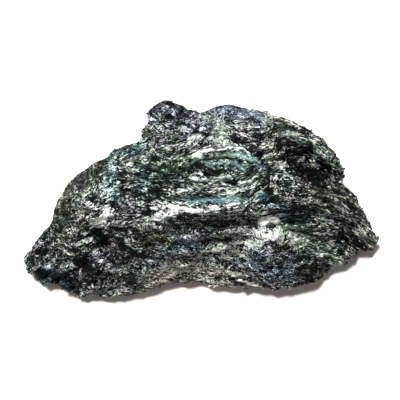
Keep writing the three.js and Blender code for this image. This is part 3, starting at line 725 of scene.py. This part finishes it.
# Length runs along the sheets, thickness across them, and lump is the size where the rock lies in lumps.
# Bend is how far a pattern is bent, and over what size. Fine is the detail and roughness of its noise.
mica = {
    "fibres": dict(length=13, thickness=0.85, lump=1.3, bend=(1.0, 12), fine=(5.0, 0.75), weight=0.4),
    "bands": dict(length=26, thickness=3.2, lump=4.5, bend=(1.0, 20), fine=(2.0, 0.5), weight=0.62,
                  lumpLoss=0.15),
    "quiet": dict(length=16, thickness=2.6, lump=6, bend=(1.0, 14), fine=(2.0, 0.5), range=(0.48, 0.6),
                  share=0.4, most=0.8),
    "scales": dict(length=7, thickness=1.7, lump=3.4, bend=(1.0, 12), weight=0.15, tilt=0.4),
    "specks": dict(length=1.35, thickness=0.31, lump=0.45, bend=(1.0, 3), weight=1.65),
    "clouds": dict(size=10, weight=0.35),
    "gaps": dict(length=14, thickness=2.2, lump=3.6, bend=(1.5, 9), width=0.10, weight=-1.5),
    "veins": dict(length=9, thickness=2.6, lump=4, bend=(1.5, 7), width=0.08, weight=1.6, broken=(0.48, 0.56),
                  brokenSize=5),
    "lines": dict(length=18, thickness=3.0, lump=4.0, bend=(1.5, 10), fine=(3.0, 0.55), width=0.028,
                  weight=(1.2, 2.0),  # in sheets, in lumps
                  clouded=(0.35, 0.6, 0.3, 1.0)),  # fainter where the clouds are dark
    "glints": dict(length=1.5, thickness=0.36, lump=0.5, bend=(1.0, 5), share=0.06, weight=2.8),
    "streaks": dict(length=8, thickness=1.3, lump=2.0, bend=(1.0, 8), fine=(5.0, 0.65), weight=2.4, share=3.0,
                    range=(1.3, 1.6)),
    "hues": dict(length=12, thickness=2.2, lump=5, bend=(1.0, 14), fine=(3.0, 0.5), range=(0.28, 0.72),
                 lotShare=0.05),
    "swirls": [(22, 5.0), (7, 1.2)],  # size and reach
    "stretch": 2.6,  # along x, in the lumps
    "ownLots": (7.13, 3.7),  # further draws from a flake's own
    "spread": dict(fibres=0.10, noise=0.12, even=0.29),  # deviations before they are evened out
    "lumpContrast": 0.32,
    "lumpLift": -0.3,
    "contrast": 0.295,
    "middle": 0.337,
    # albedo from the darkest sheets to bare bright mica and painted highlights
    "albedo": [(0.0, 0.001), (0.2, 0.0045), (0.35, 0.019), (0.5, 0.06), (0.65, 0.15), (0.8, 0.29),
               (1.0, 0.65)],
    # hues that change from streak to streak
    "streakHues": [(0.0, (0.92, 0.90, 1.32)), (0.3, (0.84, 0.98, 1.22)), (0.5, (0.84, 1.05, 1.02)),
                   (0.6, (0.72, 1.11, 1.02)), (0.75, (0.82, 1.13, 0.72)), (1.0, (1.02, 1.05, 0.74))],
    "darkHue": (0.90, 0.98, 1.20),
    "darkRange": (0.05, 0.35),
    "paleHues": ((0.92, 1.02, 0.88), (0.99, 1.0, 1.0)),  # sage and white
    "paleRange": (0.55, 0.85),
    "paleTint": 0.45,
    "bump": dict(strength=0.8, distance=1.0),
    "roughness": (0.3, 0.7),
    "ior": 1.5,
    "specular": 0.05,
}


def makeMica(name, onFlakes):
    material = bpy.data.materials.new(name)
    material.use_nodes = True
    tree = material.node_tree
    tree.nodes.clear()
    position = addNode(tree, "ShaderNodeTexCoord").outputs["Object"]
    x, y, _ = split(tree, position)

    def attribute(label, output="Fac"):
        return addNode(tree, "ShaderNodeAttribute", attribute_name=label).outputs[output]

    labels = ("sheet", "pale", "lift", "calm", "lumpy")
    sheet, pale, lift, calm, lumpy = [attribute(label) for label in labels]
    tint = attribute("tint", "Color")

    # in the lumps the sheets are short and curl round each other; noise keeps within 1/4 of its middle
    swirled = position
    for size, reach in mica["swirls"]:
        curl = vector(tree, "SUBTRACT", noise(tree, position, 1 / (size * mm), output=1), (0.5, 0.5, 0.5))
        swirled = vector(tree, "ADD", swirled, vector(tree, "SCALE", curl, 4 * reach * mm))
    swirled = vector(tree, "MULTIPLY", swirled, (1 / mica["stretch"], 1.0, 1.0))

    def places(part):
        # where to read a pattern: once along the sheets, once in lumps
        p = mica[part]
        n = calc(tree, "DIVIDE", sheet, p["thickness"] * mm)
        n = plus(tree, n, noise(tree, position, 1 / (p["bend"][1] * mm), 3.0), p["bend"][0])
        inSheets = alongSheets(tree, x, y, p["length"] * mm, n)
        return inSheets, vector(tree, "SCALE", swirled, 1 / (p["lump"] * mm))

    def between(a, b, kind="FLOAT"):
        first, second, output = {"FLOAT": (2, 3, 0), "RGBA": (6, 7, 2)}[kind]
        made = addNode(tree, "ShaderNodeMix", {"Factor": lumpy, first: a, second: b}, data_type=kind)
        return made.outputs[output]

    def noiseOf(part):
        return between(*[noise(tree, place, 1.0, *mica[part]["fine"]) for place in places(part)])

    def lotsOf(part):
        return between(*[cells(tree, place)["Color"] for place in places(part)], "RGBA")

    def linesOf(part):
        far = [cells(tree, place, "DISTANCE_TO_EDGE")["Distance"] for place in places(part)]
        return between(*[remap(tree, distance, mica[part]["width"], 0.0) for distance in far])

    def centred(value, kind="noise"):
        # to a mean of 0 and a deviation of about 1
        return calc(tree, "DIVIDE", calc(tree, "SUBTRACT", value, 0.5), mica["spread"][kind])

    fibres = noiseOf("fibres")
    clouds = noise(tree, position, 1 / (mica["clouds"]["size"] * mm))
    differ = mica["scales"]["weight"]
    if onFlakes:
        own = attribute("lot")
        lot = [own] + [calc(tree, "FRACT", times(tree, own, factor)) for factor in mica["ownLots"]]
        differ = times(tree, attribute("spread"), differ)
    else:
        scales = lotsOf("scales")
        lot = split(tree, scales)
    speckLot = split(tree, lotsOf("specks"))
    glint = calc(tree, "GREATER_THAN", split(tree, lotsOf("glints"))[0], 1 - mica["glints"]["share"])
    veins = mica["veins"]
    broken = remap(tree, noise(tree, position, 1 / (veins["brokenSize"] * mm)), *veins["broken"])
    # thin bright edges of sheets: painted highlights where the edges catch the lamp
    edge = calc(tree, "ABSOLUTE", calc(tree, "SUBTRACT", noiseOf("lines"), 0.5))
    edge = remap(tree, edge, 0.0, mica["lines"]["width"], 1.0, 0.0)
    edge = times(tree, edge, remap(tree, lumpy, 0.0, 1.0, *mica["lines"]["weight"], smooth=False))

    value = times(tree, centred(fibres, "fibres"), mica["fibres"]["weight"])
    value = plus(tree, value, centred(clouds), mica["clouds"]["weight"])
    value = plus(tree, value, centred(lot[0], "even"), differ)
    value = plus(tree, value, centred(speckLot[0], "even"), mica["specks"]["weight"])
    value = plus(tree, value, times(tree, linesOf("veins"), broken), mica["veins"]["weight"])
    value = plus(tree, value, linesOf("gaps"), mica["gaps"]["weight"])
    value = plus(tree, value, edge, remap(tree, clouds, *mica["lines"]["clouded"]))
    value = plus(tree, value, glint, mica["glints"]["weight"])
    quiet = remap(tree, noiseOf("quiet"), *mica["quiet"]["range"], 0.0, mica["quiet"]["share"])
    quiet = calc(tree, "MINIMUM", calc(tree, "ADD", quiet, calm), mica["quiet"]["most"])
    value = times(tree, value, calc(tree, "SUBTRACT", 1.0, quiet))
    value = times(tree, value, plus(tree, 1.0, lumpy, mica["lumpContrast"]))
    value = plus(tree, value, lumpy, mica["lumpLift"])
    inBands = times(tree, plus(tree, 1.0, lumpy, -mica["bands"]["lumpLoss"]), mica["bands"]["weight"])
    value = plus(tree, value, centred(noiseOf("bands")), inBands)
    # lift: lighter and darker ground, partly the stone's tone and partly painted light and shade
    value = calc(tree, "ADD", value, lift)
    # bright patches, pale mica with painted highlights, are made of streaks with hard edges, so that dark
    # gaps stay between them
    streaks = mica["streaks"]
    lit = remap(tree, plus(tree, centred(noiseOf("streaks")), pale, streaks["share"]), *streaks["range"])
    value = plus(tree, value, lit, streaks["weight"])
    value = calc(tree, "MULTIPLY_ADD", value, mica["contrast"], mica["middle"], clamp=True)

    def ramp(fac, stops):
        made = addNode(tree, "ShaderNodeValToRGB", {"Fac": fac})
        elements = made.color_ramp.elements
        while len(elements) < len(stops):
            elements.new(0.5)
        for element, (place, level) in zip(elements, stops):
            element.position = place
            element.color = (*level, 1) if isinstance(level, tuple) else (level, level, level, 1)
        return made.outputs["Color"]

    def mixed(factor, a, b, blend="MIX"):
        a, b = [(*v, 1) if isinstance(v, tuple) else v for v in (a, b)]
        return addNode(tree, "ShaderNodeMix", {"Factor": factor, 6: a, 7: b}, data_type="RGBA",
                       blend_type=blend).outputs[2]

    hue = plus(tree, noiseOf("hues"), centred(lot[2], "even"), mica["hues"]["lotShare"])
    hue = ramp(remap(tree, hue, *mica["hues"]["range"], smooth=False), mica["streakHues"])
    hue = mixed(1.0, hue, tint, "MULTIPLY")
    hue = mixed(remap(tree, value, *mica["darkRange"]), mica["darkHue"], hue)
    paleHue = mixed(lot[1], *mica["paleHues"])
    paleHue = mixed(mica["paleTint"], paleHue, mixed(1.0, paleHue, tint, "MULTIPLY"))
    hue = mixed(remap(tree, value, *mica["paleRange"]), hue, paleHue)
    colour = mixed(1.0, ramp(value, mica["albedo"]), hue, "MULTIPLY")

    normal = addNode(tree, "ShaderNodeNewGeometry").outputs["Normal"]
    if not onFlakes:
        # each scale lies at its own tilt, so that some catch the light
        tilt = vector(tree, "SUBTRACT", scales, (0.5, 0.5, 0.5))
        tilt = vector(tree, "SCALE", tilt, mica["scales"]["tilt"])
        normal = vector(tree, "NORMALIZE", vector(tree, "ADD", normal, tilt))
    normal = addNode(tree, "ShaderNodeBump", {
        "Height": fibres, "Strength": mica["bump"]["strength"], "Distance": mica["bump"]["distance"] * mm,
        "Normal": normal}).outputs[0]
    roughness = remap(tree, speckLot[1], 0.0, 1.0, *mica["roughness"], smooth=False)
    shader = addNode(tree, "ShaderNodeBsdfPrincipled", {
        "Base Color": colour, "Roughness": roughness, "Normal": normal, "IOR": mica["ior"],
        "Specular IOR Level": mica["specular"]})
    addNode(tree, "ShaderNodeOutputMaterial", {"Surface": shader.outputs[0]})
    return material


stonePiece = makeStone(makeMica("mica", False))
markPatches(stonePiece)
flakeTree = makeFlakeTree()
flakeMaterial = makeMica("micaFlakes", True)
for kind in flakes:
    flakeShapes = makeFlakeShapes(kind)
    for i in range(flakes[kind]["pieces"]):
        makeFlakes(f"{kind}{i}", kind, i, stonePiece, flakeTree, flakeShapes, flakeMaterial)
    for shape in list(flakeShapes.objects):
        bpy.data.objects.remove(shape)
    bpy.data.collections.remove(flakeShapes)
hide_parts("mica_rock")
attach(stonePiece, "root")


view = {"target": (-1.6, 7.6, 0.0), "elevation": 71, "distance": 510, "lens": 72, "sensor": 36, "near": 10}
studio = {
    "world": 0.15,
    "background": 1.0,
    "key": dict(direction=(-0.25, 0.27, 0.93), distance=900, angle=16, power=6.4),
    "fill": dict(direction=(-0.5, -0.6, 0.55), distance=1000, size=700, power=0.8),
    "floor": dict(halfWidth=3000, colour=(0.92, 0.82, 0.78, 1), roughness=0.9),
}


def makeCamera():
    camera = addObject("camera", bpy.data.cameras.new("camera"))
    camera.data.lens = view["lens"]
    camera.data.sensor_width = view["sensor"]
    camera.data.clip_start = view["near"] * mm
    elevation = math.radians(view["elevation"])
    x, y, z = view["target"]
    camera.location = (x * mm, (y - view["distance"] * math.cos(elevation)) * mm,
                       (z + view["distance"] * math.sin(elevation)) * mm)
    camera.rotation_euler = (math.pi / 2 - elevation, 0, 0)
    bpy.context.scene.camera = camera


def makeLight(name, kind):
    light = addObject(name, bpy.data.lights.new(name, kind))
    light.data.energy = studio[name]["power"]
    towards = Vector(studio[name]["direction"]).normalized()
    light.location = towards * studio[name]["distance"] * mm
    light.rotation_euler = towards.to_track_quat("Z", "Y").to_euler()
    return light.data


def makeLights():
    # the key is a sun, so that the floor is as pale far off as it is near
    sun = makeLight("key", "SUN")
    sun.angle = math.radians(studio["key"]["angle"])
    panel = makeLight("fill", "AREA")
    panel.shape = "SQUARE"
    panel.size = studio["fill"]["size"] * mm


def makeFloor():
    mesh = bpy.data.meshes.new("floor")
    half = studio["floor"]["halfWidth"] * mm
    corners = [(-half, -half, 0), (half, -half, 0), (half, half, 0), (-half, half, 0)]
    mesh.from_pydata(corners, [], [(0, 1, 2, 3)])
    floor = addObject("floor", mesh)
    material = bpy.data.materials.new("paleFloor")
    material.use_nodes = True
    shader = material.node_tree.nodes["Principled BSDF"]
    shader.inputs["Base Color"].default_value = studio["floor"]["colour"]
    shader.inputs["Roughness"].default_value = studio["floor"]["roughness"]
    shader.inputs["Specular IOR Level"].default_value = 0.0
    mesh.materials.append(material)


def makeWorld():
    world = bpy.data.worlds.new("studio")
    world.use_nodes = True
    tree = world.node_tree
    seen = addNode(tree, "ShaderNodeLightPath").outputs["Is Camera Ray"]
    strength = remap(tree, seen, 0.0, 1.0, studio["world"], studio["background"], smooth=False)
    background = tree.nodes["Background"]
    background.inputs["Color"].default_value = (1, 1, 1, 1)
    tree.links.new(strength, background.inputs["Strength"])
    bpy.context.scene.world = world


makeCamera()
makeLights()
makeFloor()
makeWorld()
bpy.context.scene.view_settings.view_transform = "Standard"
print("camera, lights and floor made")
